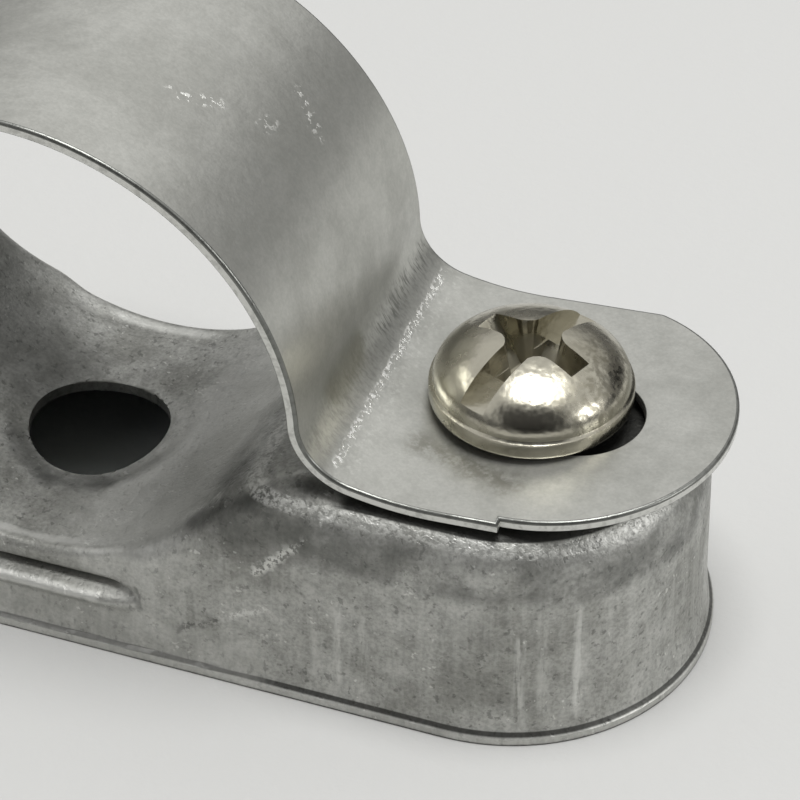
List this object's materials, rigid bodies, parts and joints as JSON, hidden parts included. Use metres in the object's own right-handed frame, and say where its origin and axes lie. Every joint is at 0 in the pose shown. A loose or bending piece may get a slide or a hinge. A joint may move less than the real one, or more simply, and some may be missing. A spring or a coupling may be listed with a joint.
{
  "type": "conduit strap",
  "caption": "Distance saddle for electrical conduit: a bent strap with slotted ears, held by pan head screws on a hollow pressed base with a cradle and a fixing hole.",
  "frame": {"origin": "in the plane of the base's foot, under the middle of the fixing hole", "axes": "+Z away from the wall or surface the base is fixed to, Y along the conduit, X from ear to ear"},
  "size_m": [0.053, 0.0168, 0.0241],
  "materials": {
    "strap_zinc": "galvanised steel strip, dull grey",
    "base_zinc": "galvanised steel, darkened and marked by deep drawing",
    "screw_nickel": "nickel plated steel, warm and bright"
  },
  "bodies": {
    "root": {"strap": "strap_zinc", "base": "base_zinc", "screw_right": "screw_nickel", "screw_left": "screw_nickel"}
  },
  "joints": []
}
